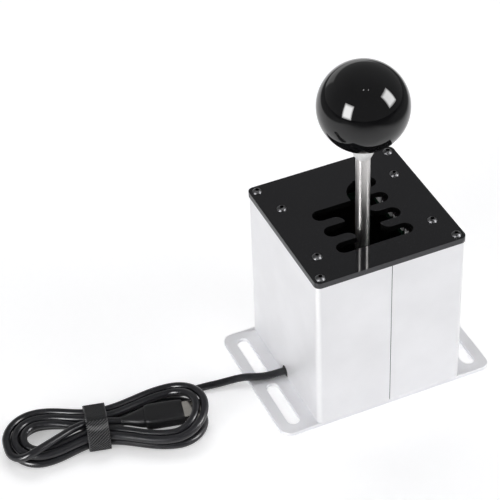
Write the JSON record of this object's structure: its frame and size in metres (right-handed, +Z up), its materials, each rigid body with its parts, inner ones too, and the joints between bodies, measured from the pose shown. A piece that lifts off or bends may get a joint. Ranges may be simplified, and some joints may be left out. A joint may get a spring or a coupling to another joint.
{
  "type": "sim racing gear shifter",
  "caption": "Box-shaped H-pattern gear shifter: a ball-topped lever on a two-axis pivot passes a slotted gate, over a slotted base plate, with a USB cable tied in a hank.",
  "frame": {"origin": "centre of the base plate's underside", "axes": "+Z up, -Y out of the front face with the seam, -X out of the left face with the cable exit; shifting moves the lever along X, selecting along Y"},
  "size_m": [0.2792, 0.091, 0.211],
  "materials": {
    "housing_aluminium": "bead-blasted satin anodised",
    "base_aluminium": "satin sheet",
    "gate_black": "polished black acrylic",
    "dark_screw": "black oxide",
    "zinc_steel": "zinc plated",
    "bracket_steel": "plain machined",
    "rod_steel": "polished",
    "collar_metal": "polished",
    "brass": "turned",
    "knob_black": "high gloss",
    "switch_plastic": "moulded",
    "board_green": "solder mask",
    "white_plastic": "nylon",
    "rubber": "moulded",
    "cable_black": "soft PVC jacket",
    "strap_black": "woven hook-and-loop",
    "plug_metal": "nickel plated"
  },
  "bodies": {
    "housing": {"base_plate": "base_aluminium", "housing_left": "housing_aluminium", "housing_right": "housing_aluminium", "base_screws": "dark_screw", "gate_plate": "gate_black", "corner_screws": "dark_screw", "inner_screws": "dark_screw", "standoffs": "brass", "switch_board": "board_green", "board_screws": "zinc_steel", "controller_chip": "switch_plastic", "board_connector": "white_plastic", "switch_reverse": "switch_plastic", "switch_first": "switch_plastic", "switch_second": "switch_plastic", "switch_third": "switch_plastic", "switch_fourth": "switch_plastic", "switch_fifth": "switch_plastic", "switch_sixth": "switch_plastic", "switch_blades": "zinc_steel", "bracket_left": "bracket_steel", "bracket_right": "bracket_steel", "bracket_screws": "zinc_steel", "bush_left": "brass", "bush_right": "brass", "centring_springs": "zinc_steel", "cable_grommet": "rubber", "cable_clamp": "white_plastic", "clamp_screw": "zinc_steel", "usb_lead": "cable_black", "usb_hank": "cable_black", "usb_tail": "cable_black", "hank_tie": "strap_black", "plug_body": "cable_black", "plug_shell": "plug_metal", "plug_tongue": "white_plastic"},
    "yoke": {"select_yoke": "bracket_steel", "shift_axle": "zinc_steel", "axle_nut": "zinc_steel", "friction_washers": "white_plastic"},
    "lever": {"lever_hub": "bracket_steel", "hub_set_screw": "dark_screw", "lever_rod": "rod_steel", "knob_collar": "collar_metal", "knob_insert": "brass", "ball_knob": "knob_black"}
  },
  "joints": [
    {"name": "select_pivot", "type": "hinge", "parent": "housing", "child": "yoke", "pos_m": [0, -0.009, 0.025], "axis": [1, 0, 0], "range_deg": [-10.5, 10.5], "stiffness_Nm_per_rad": 1.2},
    {"name": "shift_pivot", "type": "hinge", "parent": "yoke", "child": "lever", "pos_m": [0, -0.009, 0.025], "axis": [0, 1, 0], "range_deg": [-12.5, 12.5]}
  ]
}
